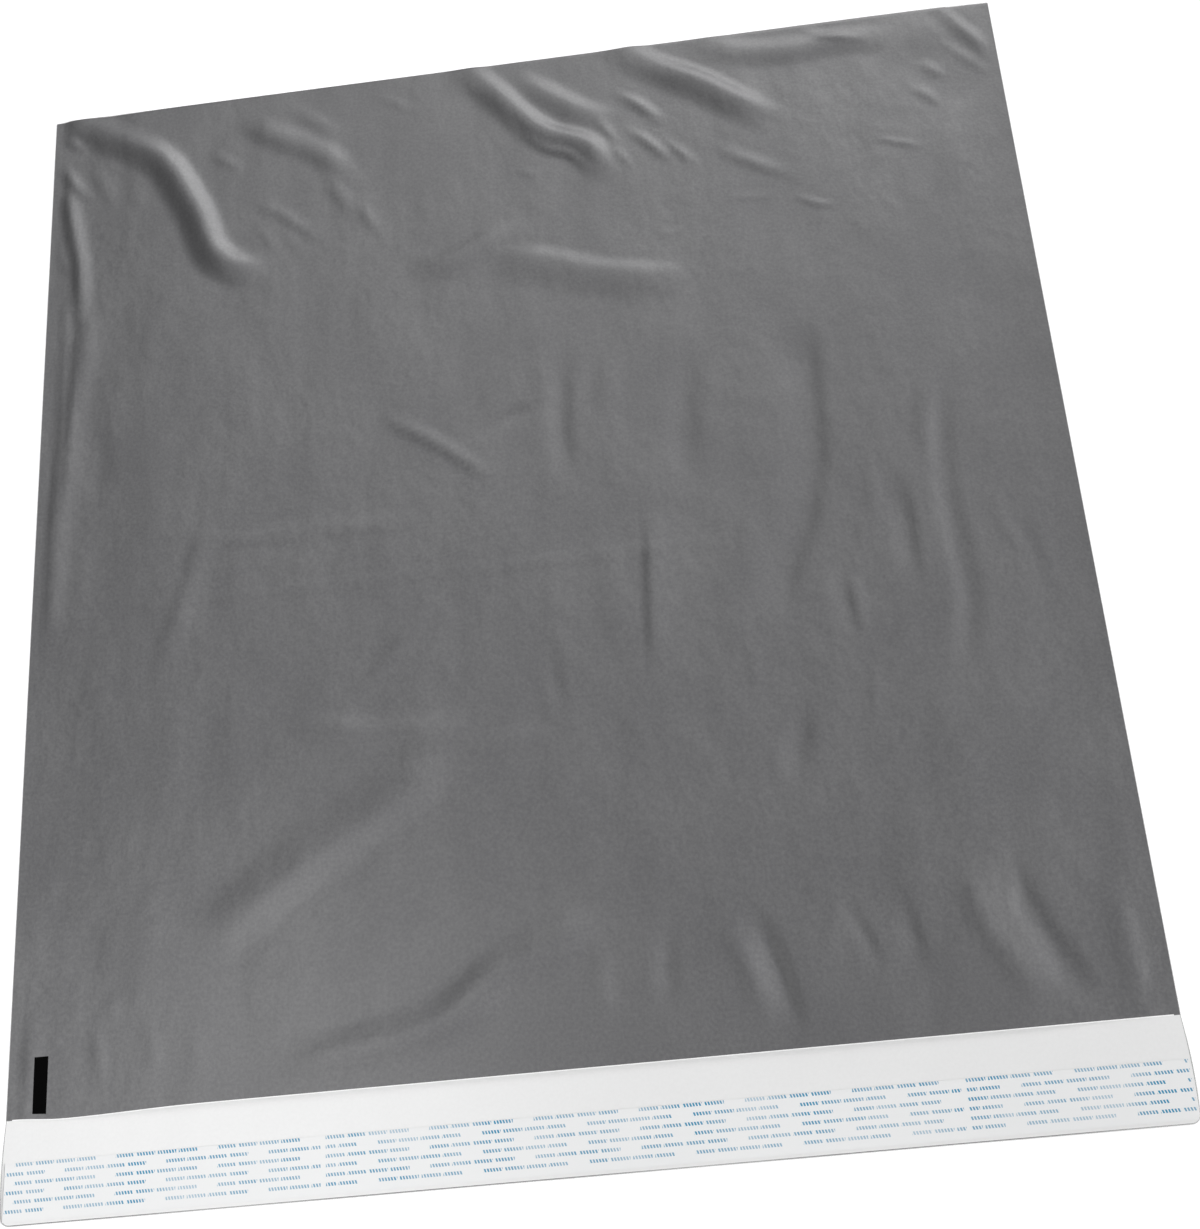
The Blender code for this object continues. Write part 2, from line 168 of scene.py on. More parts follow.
# %% [markdown]
# ## Light
#
# Folds a few millimetres high show only when light comes across them. A big soft window stands
# on the right, 20 degrees over the surface, and gives nearly two thirds of the light on a level
# sheet. The other sources are there for their mirror images in the film. The back window's falls
# on the flanks of the gathers that face away from the mouth, the back wall's on the top of the
# panel, and the lamp's on the lower left corner and the folds that slant across it. The lamp
# hangs close, about half a metre up, so that its image stays in the corner. The sky gives the
# rest. Together they light level film at the value at which a colour renders as it is written.

# %% Light
# Name, share of the light on a level sheet, then elevation, azimuth and spread in degrees
LIGHTS = (
    ("window", 0.64, 20, -8, 26),
    ("back_window", 0.13, 30, 74, 38),
    ("back_wall", 0.06, 52, 102, 36),
)
LAMP_SHARE = 0.07
LAMP_WATTS = 0.62
LAMP_SIZE = 0.42
LAMP_AT = (-0.37, MOUTH_Y - 0.05, 0.55)
LAMP_LEAN = 20

for name, share, elevation, azimuth, spread in LIGHTS:
    source = bpy.data.lights.new(name, "SUN")
    source.energy = math.pi * share / math.sin(math.radians(elevation))
    source.angle = math.radians(spread)
    light = bpy.data.objects.new(name, source)
    light.rotation_euler = (0, math.radians(90 - elevation), math.radians(azimuth))
    bpy.context.collection.objects.link(light)

lamp_source = bpy.data.lights.new("lamp", "AREA")
lamp_source.energy = LAMP_WATTS
lamp_source.size = LAMP_SIZE
lamp = bpy.data.objects.new("lamp", lamp_source)
lamp.location = LAMP_AT
lamp.rotation_euler = (0, -math.radians(LAMP_LEAN), 0)
lamp.visible_camera = False
bpy.context.collection.objects.link(lamp)

world = bpy.data.worlds.new("room")
world.use_nodes = True
world.node_tree.nodes["Background"].inputs["Color"].default_value = (1, 1, 1, 1)
sky_share = 1 - LAMP_SHARE - sum(share for _, share, *_ in LIGHTS)
world.node_tree.nodes["Background"].inputs["Strength"].default_value = sky_share
bpy.context.scene.world = world
print(len(LIGHTS), "windows, a lamp, and a sky that gives", round(sky_share, 2), "of the light")

# %% [markdown]
# ## Floor
#
# The floor is white in the picture. Extra light on it would also reach the mailer, so the floor
# gets its whiteness from its own material, only for rays that come from the camera or from a
# mirror-like bounce, or that passed through something clear. Within a millimetre or two of the
# film an ambient occlusion term darkens its colour and its whiteness, as far as the film hides
# the room from it: a painted contact shadow, whose thin line draws the flap's free edge. The
# floor lies a tenth of a millimetre under the film, because two faces at one height can't be
# told apart.

# %% Floor
FLOOR_SIZE = 12
FLOOR_DROP = 0.1 * MM
FLOOR_WHITENING = 0.4
# How far and how deep the painted contact shadow on the floor reaches
CONTACT_SHADOW_L = 1.5 * MM
CONTACT_SHADOW_DEPTH = 6.0

floor_white, tree = new_material("floor_white")
path = add(tree, "LightPath")
seen = add(
    tree,
    "Math",
    {0: path.outputs["Is Camera Ray"], 1: path.outputs["Is Glossy Ray"]},
    operation="MAXIMUM",
)
seen = add(
    tree,
    "Math",
    {0: seen.outputs[0], 1: path.outputs["Is Transmission Ray"]},
    operation="MAXIMUM",
)
# A painted contact shadow: ambient occlusion darkens the floor's colour and whiteness near the film
painted_contact_shadow = add(tree, "AmbientOcclusion", {"Distance": CONTACT_SHADOW_L}, samples=16)
painted_contact_shadow = add(tree, "Math", {0: painted_contact_shadow.outputs["AO"], 1: CONTACT_SHADOW_DEPTH}, operation="POWER")
strength = add(tree, "Math", {0: seen.outputs[0], 1: FLOOR_WHITENING}, operation="MULTIPLY")
strength = add(tree, "Math", {0: strength.outputs[0], 1: painted_contact_shadow.outputs[0]}, operation="MULTIPLY")
glow = add(tree, "Emission", {"Color": (1, 1, 1, 1), "Strength": strength.outputs[0]})
colours = {"Color1": (0, 0, 0, 1), "Color2": linear("#e8e8e8")}
white = add(tree, "MixRGB", {"Fac": painted_contact_shadow.outputs[0], **colours})
matte = add(tree, "BsdfDiffuse", {"Color": white.outputs[0]})
both = add(tree, "AddShader", {0: matte.outputs[0], 1: glow.outputs[0]})
add(tree, "OutputMaterial", {"Surface": both.outputs[0]})

half = FLOOR_SIZE / 2
floor_mesh = bpy.data.meshes.new("floor")
corners = [(-half, -half, 0), (half, -half, 0), (half, half, 0), (-half, half, 0)]
floor_mesh.from_pydata(corners, [], [(0, 1, 2, 3)])
floor_mesh.materials.append(floor_white)
floor = bpy.data.objects.new("floor", floor_mesh)
floor.location.z = -FLOOR_DROP
bpy.context.collection.objects.link(floor)
print("floor", FLOOR_SIZE, "m wide")

# %% [markdown]
# ## A curve to fold along
#
# Each fold of the film is drawn as the route of its crest, two to eight given points. A
# Catmull-Rom spline makes a smooth curve of them, because it passes through every point, so a
# fold lies exactly where it was put.

# %% Curves and smooth steps
def smooth(share):
    """0 below 0, 1 above 1, and the S of 3 s^2 - 2 s^3 between them."""
    share = np.clip(share, 0, 1)
    return share * share * (3 - 2 * share)


def through(route, steps=8):
    """A Catmull-Rom spline: each span is the cubic whose ends have the slope of their neighbours."""
    points = np.array(route, float)
    points = np.vstack([2 * points[0] - points[1], points, 2 * points[-1] - points[-2]])
    share = np.linspace(0, 1, steps, endpoint=False)[:, None]
    spans = []
    for a, b, c, d in zip(points, points[1:], points[2:], points[3:]):
        bend = 2 * b + (c - a) * share + (2 * a - 5 * b + 4 * c - d) * share**2
        spans.append((bend + (3 * b - a - 3 * c + d) * share**3) / 2)
    return np.vstack([*spans, points[-2:-1]])


# %% [markdown]
# ## The folds
#
# Film that was folded, packed and pulled open again keeps its creases. Long gathers hang from
# the corners, where the weld holds the two panels at slightly different lengths, steep short ones
# run in from the bottom fold, and shallow upright waves cross the quiet right half. Simulated
# cloth would give some folds, but not these, so each is listed one by one.
#
# A fold has a height, the width of its flank on the left of the route and on the right, and the
# route. A height below zero is a valley. One flank is often narrower, because film leans over.
# The numbers are millimetres on the panel, x from the middle and y from the mouth. The first
# list has the folds that shape the panel, and the second the fine creases that only a fine mesh
# can hold.

# %% Folds of the front panel
FOLDS = (
    # The long gather out of the upper left corner
    (4.1, 12, 18, ((-312, 634), (-268, 606), (-232, 582), (-208, 541), (-193, 504), (-160, 486))),
    (1.3, 5, 5, ((-306, 612), (-295, 604), (-282, 593))),
    (1.6, 6, 6, ((-304, 592), (-292, 573), (-280, 555))),
    (0.5, 9, 8, ((-282, 588), (-270, 566), (-262, 545))),
    # The loose run beside the left weld
    (1.9, 8, 8, ((-299, 580), (-290, 538), (-284, 505), (-282, 462))),
    (1.0, 13, 8, ((-281, 486), (-282, 440), (-287, 390), (-293, 320), (-299, 250))),
    (0.6, 4, 4, ((-303, 532), (-296, 514), (-290, 500))),
    (0.6, 3.5, 3.5, ((-293, 500), (-292, 430), (-294, 360), (-298, 300))),
    (-0.5, 12, 14, ((-270, 412), (-267, 372), (-270, 334))),
    # Soft gathers between the left corner and the middle
    (0.6, 6, 5, ((-202, 584), (-190, 573), (-176, 562))),
    (1.7, 12, 14, ((-186, 606), (-152, 585), (-124, 568), (-104, 540))),
    (0.8, 7, 9, ((-158, 614), (-134, 598), (-112, 576))),
    (0.6, 5, 5, ((-94, 612), (-79, 601), (-62, 588))),
    (0.7, 6, 6, ((-176, 543), (-152, 527), (-122, 500))),
    (0.4, 5, 4, ((-174, 530), (-160, 508), (-150, 494))),
    (0.4, 5, 4, ((-158, 524), (-146, 506), (-134, 488))),
    (0.8, 7, 8, ((-130, 558), (-117, 540), (-105, 517))),
    (0.7, 6, 5, ((-106, 534), (-97, 517), (-88, 500))),
    # The steep gathers that hang from the bottom fold
    (3.0, 10, 17, ((-42, 634), (-14, 602), (14, 568), (38, 555), (48, 546), (57, 520))),
    (0.9, 4, 4, ((0, 567), (16, 552), (34, 543), (48, 522))),
    (2.0, 10, 16, ((-6, 614), (22, 592), (42, 577), (66, 566))),
    (0.8, 4, 4, ((47, 576), (56, 560), (65, 544))),
    (0.6, 4, 4, ((56, 552), (64, 540), (72, 526))),
    (1.3, 5, 6, ((62, 589), (78, 576), (96, 556))),
    (1.2, 5, 5, ((66, 561), (79, 550), (99, 526))),
    (0.8, 4, 4, ((90, 551), (101, 537), (112, 522))),
    (3.2, 10.5, 19, ((56, 639), (86, 609), (118, 588), (143, 569), (166, 550))),
    (0.7, 8, 6, ((116, 542), (146, 522), (176, 506))),
    (0.6, 3, 3, ((164, 499), (178, 490), (196, 484))),
    (1.8, 9, 16, ((112, 626), (140, 610), (175, 605), (210, 607), (248, 604))),
    (1.3, 5, 5, ((178, 622), (198, 610), (230, 602))),
    # The upper right corner
    (1.6, 3.5, 10, ((234, 676), (274, 622), (312, 570), (372, 488))),
    (1.4, 14, 44, ((252, 644), (262, 612), (276, 586))),
    (0.7, 5, 5, ((256, 584), (264, 574), (272, 566))),
    (0.7, 5, 5, ((246, 566), (256, 558), (266, 546))),
    (0.8, 14, 12, ((277, 556), (267, 520), (257, 476))),
    (0.3, 12, 8, ((247, 550), (238, 510), (231, 475))),
    # The two shallow curves that meet above the middle
    (1.3, 11, 18, ((-80, 482), (-48, 481), (-20, 493), (8, 499))),
    (1.5, 11, 22, ((-30, 476), (5, 475), (45, 461), (104, 448))),
    (1.2, 4, 6, ((-97, 383), (-61, 360), (-22, 328))),
    (-1.0, 6, 7, ((-40, 355), (-20, 369), (10, 376))),
    (0.5, 7, 7, ((-208, 311), (-140, 312), (-68, 310))),
    # Upright waves over the right half
    (-0.8, 9, 12, ((20, 416), (15, 370), (16, 318))),
    (0.6, 12, 10, ((56, 412), (45, 388), (38, 360))),
    (0.5, 14, 14, ((34, 296), (38, 250), (41, 212))),
    (1.0, 20, 5, ((62, 306), (59, 260), (56, 200))),
    (-1.0, 14, 14, ((100, 412), (88, 372), (84, 310))),
    (0.5, 10, 8, ((124, 314), (117, 285), (113, 250))),
    (-1.5, 12, 22, ((164, 414), (161, 370), (159, 325), (151, 290), (137, 260), (126, 224))),
    (-0.8, 7, 10, ((163, 264), (166, 235), (170, 203))),
    (0.5, 7, 7, ((192, 334), (190, 300), (185, 264))),
    (-1.1, 7, 12, ((203, 312), (206, 272), (205, 232))),
    (0.9, 10, 9, ((238, 384), (226, 348), (219, 306))),
    (-1.0, 10, 10, ((239, 358), (233, 322), (231, 290), (233, 255), (234, 226), (222, 186))),
    (0.4, 5, 5, ((250, 298), (262, 266), (276, 232))),
    (0.4, 10, 7, ((276, 280), (280, 250), (284, 220))),
    (0.3, 10, 8, ((207, 408), (206, 380), (205, 360))),
    (-0.9, 8, 12, ((140, 182), (133, 158), (124, 130))),
    (0.7, 12, 10, ((-195, 330), (-208, 292), (-226, 234))),
    # The broad slanting folds over the lower left
    (2.0, 18, 24, ((-50, 168), (-72, 161), (-131, 126), (-155, 110), (-204, 77))),
    (1.0, 12, 14, ((-156, 199), (-110, 188), (-38, 184))),
    (0.7, 10, 10, ((6, 172), (-28, 175), (-62, 165))),
    (0.5, 8, 8, ((-60, 270), (-90, 232), (-128, 195))),
    (2.6, 17, 15, ((26, 76), (4, 69), (-20, 61), (-42, 51), (-62, 35), (-84, 26), (-112, 20), (-162, 12))),
    # Ripples along the mouth
    (0.7, 15, 7, ((-298, 66), (-296, 30), (-294, -20))),
    (0.4, 6, 6, ((-260, 50), (-256, 30), (-254, 10))),
    (0.3, 6, 6, ((-230, 50), (-226, 30), (-224, 10))),
    (0.3, 6, 6, ((-206, 44), (-203, 26), (-202, 8))),
    (0.8, 9, 6, ((15, 66), (14, 42), (14, 16))),
    (-1.0, 7, 9, ((52, 70), (50, 45), (47, 18))),
    (0.7, 8, 8, ((80, 72), (90, 46), (98, 16))),
    (-1.9, 6, 14, ((95, 78), (106, 48), (113, 20), (116, 2))),
    (-0.8, 4, 6, ((142, 78), (150, 62), (157, 45), (161, 30))),
    (-0.7, 5, 12, ((173, 76), (179, 52), (181, 28))),
    (1.0, 14, 12, ((209, 90), (216, 56), (230, 30), (246, 6))),
    (-1.3, 9, 12, ((232, 92), (240, 58), (256, 26), (270, 4))),
    (0.6, 8, 12, ((282, 80), (287, 40), (290, -20))),
)
CREASES = (
    # Long thin lines across the left half
    (0.25, 2.5, 2.5, ((-285, 275), (-200, 278), (-60, 278), (120, 276))),
    (0.25, 4, 3, ((-160, 196), (-190, 190), (-250, 184), (-300, 180))),
    # Short creases in the middle
    (0.25, 4, 4, ((-203, 235), (-208, 210))),
    (0.25, 4, 4, ((-66, 266), (-56, 240))),
    (0.3, 4, 4, ((-60, 235), (-60, 205))),
    (0.2, 4, 4, ((-35, 275), (-30, 262))),
    (0.2, 4, 4, ((-18, 262), (-14, 245))),
    (0.3, 6, 5, ((110, 230), (112, 200), (111, 172))),
    (0.5, 6, 6, ((205, 217), (187, 195), (182, 178))),
    (0.4, 4, 4, ((186, 212), (177, 187), (172, 163))),
    (0.4, 6, 5, ((171, 256), (173, 212))),
    (0.3, 5, 5, ((182, 238), (187, 212))),
    (-0.4, 3, 3.5, ((-60, 170), (-61, 144))),
    (0.4, 5, 4, ((183, 286), (176, 256))),
    (-0.4, 6, 8, ((0, 234), (1, 208), (8, 180))),
    (0.25, 4, 4, ((28, 192), (46, 172), (56, 154))),
    (0.25, 4, 4, ((60, 176), (78, 160), (90, 138))),
    (0.25, 3, 3, ((108, 240), (110, 214))),
    (0.3, 6, 6, ((-114, 198), (-126, 190))),
    (0.3, 6, 6, ((-120, 168), (-130, 160))),
    # Dents and short lines over the lower left
    (0.35, 5, 5, ((-240, 56), (-262, 50))),
    (0.35, 5, 5, ((-290, 130), (-283, 112))),
    (0.25, 5, 5, ((-250, 104), (-280, 105))),
    (0.3, 4, 4, ((-240, 60), (-232, 52))),
    (0.4, 3, 4, ((-275, 35), (-285, 39))),
    (0.25, 6, 6, ((-215, 85), (-240, 100))),
    (0.25, 6, 6, ((-130, 60), (-150, 70))),
    (0.25, 6, 6, ((-150, 35), (-165, 35))),
    # Under the upper right corner
    (0.5, 3, 3, ((218, 531), (253, 518))),
    (0.25, 4, 4, ((80, 481), (100, 480))),
    (0.25, 4, 4, ((125, 500), (160, 497))),
    (0.5, 5, 5, ((265, 600), (286, 580), (306, 558))),
    (0.4, 4, 4, ((-3, 541), (12, 531))),
    # A thin line beside the left weld
    (0.3, 2.5, 2.5, ((-288, 470), (-286, 400), (-289, 330))),
)
print(len(FOLDS), "folds and", len(CREASES), "creases")

# %% [markdown]
# ## The height of the front panel
#
# The panel is a height over the back one: a loft that dies out towards the welds and the ends,
# plus every fold. It comes down to nothing at the side welds and is calmer near the mouth and
# the bottom fold, where the film is held flat. As a function of x and y it can be read at any
# point, so the mesh can be as fine as it needs to be. The mouth isn't quite straight either: near
# the left weld it hangs out over the flap by a millimetre and a half.

# %% Height field
WELD_SLOPE_L = 9 * MM
LOFT = 1.8 * MM
LOFT_SLOPE_L = 90 * MM
LOFT_AT_ENDS = 0.7
LOFT_END_L = 80 * MM
FOLD_FADE_L = 35 * MM
EDGE_CALM_L = 30 * MM
EDGE_CALM = 0.45
LEAST_GAP = 0.3 * MM
MOUTH_SAG = 1.5 * MM
MOUTH_SAG_X = -274 * MM
MOUTH_SAG_LEFT, MOUTH_SAG_RIGHT = 28 * MM, 75 * MM
MOUTH_SAG_L = 20 * MM


def fold_rise(x, y, fold):
    """height * S(1 - distance to the crest / flank) * S(distance to the nearer end / fade)."""
    height, left, right, route = (np.array(part, float) * MM for part in fold)
    curve = through(route)
    widest = max(left, right)
    low, high = curve.min(axis=0) - widest, curve.max(axis=0) + widest
    near = (x > low[0]) & (x < high[0]) & (y > low[1]) & (y < high[1])
    start, run = curve[:-1], np.diff(curve, axis=0)
    length = np.hypot(run[:, 0], run[:, 1])
    away_x, away_y = x[near][:, None] - start[:, 0], y[near][:, None] - start[:, 1]
    along = np.clip((away_x * run[:, 0] + away_y * run[:, 1]) / length**2, 0, 1)
    off_x, off_y = away_x - along * run[:, 0], away_y - along * run[:, 1]
    off = np.hypot(off_x, off_y)
    nearest = (np.arange(len(off)), off.argmin(axis=1))
    on_left = (run[:, 0] * off_y - run[:, 1] * off_x)[nearest] > 0
    gone = (np.cumsum(length) - length + along * length)[nearest]
    fade = np.minimum(gone, length.sum() - gone) / min(FOLD_FADE_L, length.sum() / 2)
    rise = np.zeros_like(x)
    rise[near] = height * smooth(1 - off[nearest] / np.where(on_left, left, right)) * smooth(fade)
    return rise


def loft(x, y):
    """(loft * S(distance to the ends) + fold gap / 2) * S(distance to the welds / slope)."""
    from_ends = np.minimum(y, FOLD_Y - MOUTH_Y - y)
    at_ends = LOFT_AT_ENDS + (1 - LOFT_AT_ENDS) * smooth(from_ends / LOFT_END_L)
    return (LOFT * at_ends + FOLD_GAP / 2) * smooth((SEAL_X - np.abs(x)) / LOFT_SLOPE_L)


def mouth_sag(x, y):
    """How far the mouth hangs out over the flap: sag * S(1 - distance / reach) * S(1 - y / length)."""
    reach = np.where(x < MOUTH_SAG_X, MOUTH_SAG_LEFT, MOUTH_SAG_RIGHT)
    return MOUTH_SAG * smooth(1 - np.abs(x - MOUTH_SAG_X) / reach) * smooth(1 - y / MOUTH_SAG_L)


def panel_rise(x, y):
    """The greater of a least gap and loft + folds, as (a + sqrt(a^2 + gap^2)) / 2, down to the welds."""
    folds = np.zeros_like(x)
    for fold in FOLDS + CREASES:
        folds = folds + fold_rise(x, y, fold)
    from_ends = np.minimum(y, FOLD_Y - MOUTH_Y - y)
    calm = EDGE_CALM + (1 - EDGE_CALM) * smooth(from_ends / EDGE_CALM_L)
    rise = loft(x, y) + folds * calm
    rise = (rise + np.sqrt(rise**2 + LEAST_GAP**2)) / 2
    return rise * smooth((SEAL_X - np.abs(x)) / WELD_SLOPE_L)


# %% [markdown]
# ## A grid that is finer where the film is busier
#
# A piece may hold 200,000 triangles, and both sides of the film need the same grid, because the
# wall between them is only 0.064 mm. The lines of the grid stand close where the creases are,
# towards the bottom fold, and further apart over the quiet middle. A line is moved onto each
# side of the registration mark, so that the ink ends on a clean edge, and one more row bounds
# the cut edge of the film at the mouth, which carries a painted highlight.

# %% Grid lines
MARK_W, MARK_L = 7.5 * MM, 28 * MM
MARK_FROM_SIDE, MARK_FROM_MOUTH = 14 * MM, 3 * MM
# Width of the cut edge's row on top of the film, which carries a painted highlight
CUT_EDGE_AND_HIGHLIGHT_W = 0.5 * MM
QUIET_ROW, BUSY_ROW = 3.7 * MM, 2 * MM
BUSY_FROM_Y, ROW_BLEND_L = 400 * MM, 60 * MM
QUIET_COLUMN, BUSY_COLUMN = 3.3 * MM, 2.7 * MM
QUIET_FROM_X, QUIET_TO_X, COLUMN_BLEND_L = -200 * MM, -60 * MM, 40 * MM
LINE_SAMPLES = 3001


def lines_between(start, end, step_at):
    """Positions whose spacing follows step_at(position): equal shares of the sum of 1 / step."""
    fine = np.linspace(start, end, LINE_SAMPLES)
    passed = np.concatenate([[0], np.cumsum(np.diff(fine) / step_at((fine[1:] + fine[:-1]) / 2))])
    return np.interp(np.linspace(0, passed[-1], round(passed[-1]) + 1), passed, fine)


def snapped(lines, places):
    """The same lines, with the nearest one moved onto each place."""
    lines = lines.copy()
    for place in places:
        lines[np.abs(lines - place).argmin()] = place
    return lines


def row_step(y):
    """quiet - (quiet - busy) * S((y - start) / blend), busy over the last 180 mm to the fold."""
    return QUIET_ROW - (QUIET_ROW - BUSY_ROW) * smooth((y - BUSY_FROM_Y) / ROW_BLEND_L)


def column_step(x):
    """busy + (quiet - busy) * (S at the left end of the quiet stretch - S at its right end)."""
    left = smooth((x - QUIET_FROM_X) / COLUMN_BLEND_L)
    right = smooth((x - QUIET_TO_X) / COLUMN_BLEND_L)
    return BUSY_COLUMN + (QUIET_COLUMN - BUSY_COLUMN) * (left - right)


mark_left = -PANEL_W / 2 + MARK_FROM_SIDE
mark_xs = (mark_left, mark_left + MARK_W)
mark_ys = (MARK_FROM_MOUTH, MARK_FROM_MOUTH + MARK_L)
column_xs = snapped(lines_between(-SEAL_X, SEAL_X, column_step), mark_xs)
row_ys = snapped(lines_between(0, FOLD_Y - MOUTH_Y, row_step), mark_ys)
row_ys = np.insert(row_ys, 1, CUT_EDGE_AND_HIGHLIGHT_W)
print(len(column_xs), "columns and", len(row_ys), "rows")

# %% [markdown]
# ## Sewing surfaces together
#
# The web is built from plain grids, one for each stretch of film: outside and inside of the
# front, the fold, the welds and the flap. Grids that meet share the same points along their
# border. Rounding all the points to a tenth of a micrometre and keeping one of each sews them
# into one closed surface without a search for neighbours.

# %% A web made of grids
# The last kind is the cut edge of the film, with a painted highlight
GREY, WHITE, INK, CUT_EDGE_AND_HIGHLIGHT = 0, 1, 2, 3
PLACES_PER_METRE = 1e7
SHARP_ANGLE = math.radians(50)


class Web:
    """Gathers grids and flat outlines, and sews them where their points meet."""

    def __init__(self):
        self.points = []
        self.quads = []
        self.kinds = []
        self.outlines = []
        self.count = 0

    def grid(self, rows, kind, flip=False):
        """Quads over rows of points, facing +Z where columns run to +X and rows to +Y."""
        rows = np.asarray(rows, float)
        high, wide = rows.shape[:2]
        corner = self.count + (np.arange(high - 1)[:, None] * wide + np.arange(wide - 1)).ravel()
        quads = np.stack([corner, corner + 1, corner + wide + 1, corner + wide], axis=1)
        # A flipped quad keeps its first corner, so that both sides of the wall split alike.
        self.quads.append(quads[:, [0, 3, 2, 1]] if flip else quads)
        self.kinds.append(np.broadcast_to(kind, (high - 1, wide - 1)).ravel())
        self.points.append(rows.reshape(-1, 3))
        self.count += high * wide

    def outline(self, points, kind, flip=False):
        """One flat face inside a closed outline."""
        points = np.asarray(points, float)
        face = np.arange(self.count, self.count + len(points))
        self.outlines.append((face[::-1] if flip else face, kind))
        self.points.append(points)
        self.count += len(points)

    def mesh(self, name, materials):
        """One vertex for each rounded place, then the quads and the flat faces over them."""
        points = np.vstack(self.points)
        places = np.round(points * PLACES_PER_METRE).astype(np.int64)
        _, first, index = np.unique(places, axis=0, return_index=True, return_inverse=True)
        index = index.reshape(-1)
        faces = index[np.vstack(self.quads)].tolist()
        faces += [index[face].tolist() for face, _ in self.outlines]
        kinds = np.concatenate([*self.kinds, [kind for _, kind in self.outlines]]).astype(np.int32)
        made = bpy.data.meshes.new(name)
        made.from_pydata(points[first], [], faces)
        for material in materials:
            made.materials.append(material)
        made.polygons.foreach_set("material_index", kinds)
        rounded = np.arange(len(faces)) < len(faces) - len(self.outlines)
        made.polygons.foreach_set("use_smooth", rounded)
        made.set_sharp_from_angle(angle=SHARP_ANGLE)
        made.validate()
        return made


def line_at(xs, y, z):
    """Points along X at one y and z, each a number or an array as long as xs."""
    return np.column_stack(np.broadcast_arrays(xs, y, z))


# %% [markdown]
# ## Polyethylene film, grey outside
#
# The film is blown low-density polyethylene in two layers, a grey one outside over a white one.
# It comes out of the die with a fine matte grain, faint streaks along the web and slow clouds
# where the wall is a little thicker. Polyethylene has an IOR of 1.51. Its sheen is broad, because
# the film is matte, and the specular level is doubled to match the sheen of the real film. What
# the film has gone through shows as a crinkle of 9 mm, drawn out along the web, and as slack
# waves of 38 mm. Both are too low for the mesh, so they are bump. The crinkle is fainter where
# the clouds are thin. The grain is under 0.3 mm on the real film, and 1.8 mm here, about the
# finest that the picture can show.
#
# The cut edge at the mouth shows the white inner layer: a line half a millimetre wide. It is
# brighter than the white film, a painted highlight along the mouth.

# %% Grey film
CRINKLE_MM = 9
CRINKLE_STRETCH = 1.5
GRAIN_MM = 1.8
CLOUD_MM = 60
STREAK_MM = 6
STREAKS_PER_METRE = 6
STREAK_SHARE = 0.12
GRAIN_SHARE = 0.6
SLACK_MM = 38
SLACK_STRETCH = 2.2
SLACK_SHARE = 3.4


def film_material(name, colour, cloud_colour, crinkle_height, grain_height):
    """Blown polyethylene: a base colour with clouds and streaks, slack waves, a crinkle and a grain."""
    made, tree = new_material(name)
    place = add(tree, "TexCoord").outputs["Object"]

    # Colour: clouds, faint streaks along the web, and the grain
    clouds = add(
        tree,
        "TexNoise",
        {"Vector": place, "Scale": 1000 / CLOUD_MM, "Detail": 3.0, "Roughness": 0.55},
    )
    long = add(tree, "Mapping", {"Vector": place, "Scale": (1000 / STREAK_MM, STREAKS_PER_METRE, 1)})
    streaks = add(tree, "TexNoise", {"Vector": long.outputs[0], "Scale": 1.0, "Detail": 2.0})
    grain = add(
        tree,
        "TexNoise",
        {"Vector": place, "Scale": 1000 / GRAIN_MM, "Detail": 1.0, "Roughness": 0.6},
    )
    mottle = add(
        tree,
        "MixRGB",
        {"Fac": STREAK_SHARE, "Color1": clouds.outputs[0], "Color2": streaks.outputs[0]},
    )
    mottle = add(
        tree,
        "MixRGB",
        {"Fac": GRAIN_SHARE, "Color1": mottle.outputs[0], "Color2": grain.outputs[0]},
    )
    shade = add(tree, "MapRange", {"Value": mottle.outputs[0], "From Min": 0.35, "From Max": 0.65})
    colours = {"Color1": linear(colour), "Color2": linear(cloud_colour)}
    tint = add(tree, "MixRGB", {"Fac": shade.outputs[0], **colours})

    # Height: the crinkle where the film was worked, the slack waves, and the grain over both
    drawn = add(tree, "Mapping", {"Vector": place, "Scale": (1, 1 / CRINKLE_STRETCH, 1)})
    crinkle = add(
        tree,
        "TexNoise",
        {"Vector": drawn.outputs[0], "Scale": 1000 / CRINKLE_MM, "Detail": 1.5},
    )
    worked = add(
        tree,
        "MapRange",
        {"Value": clouds.outputs[0], "From Min": 0.4, "From Max": 0.6, "To Min": 0.25},
    )
    height = add(
        tree,
        "Math",
        {0: crinkle.outputs[0], 1: worked.outputs[0]},
        operation="MULTIPLY",
    )
    waves = add(tree, "Mapping", {"Vector": place, "Scale": (1, 1 / SLACK_STRETCH, 1)})
    slack = add(tree, "TexNoise", {"Vector": waves.outputs[0], "Scale": 1000 / SLACK_MM, "Detail": 1.0})
    height = add(
        tree,
        "Math",
        {0: slack.outputs[0], 1: SLACK_SHARE, 2: height.outputs[0]},
        operation="MULTIPLY_ADD",
    )
    bumps = add(tree, "Bump", {"Height": height.outputs[0], "Distance": crinkle_height})
    fine = add(
        tree,
        "Bump",
        {"Height": grain.outputs[0], "Distance": grain_height, "Normal": bumps.outputs[0]},
    )
    shader = add(
        tree,
        "BsdfPrincipled",
        {
            "Base Color": tint.outputs[0],
            "Normal": fine.outputs[0],
            "Roughness": 0.36,
            "IOR": 1.51,
            "Specular IOR Level": 1.0,
        },
    )
    add(tree, "OutputMaterial", {"Surface": shader.outputs[0]})
    return made


film_grey = film_material("blown_polyethylene_grey", "#5f5f61", "#6d6d6e", 0.38 * MM, 0.05 * MM)
film_white = film_material("blown_polyethylene_white", "#e8e8e8", "#ebebeb", 0.04 * MM, 0.01 * MM)
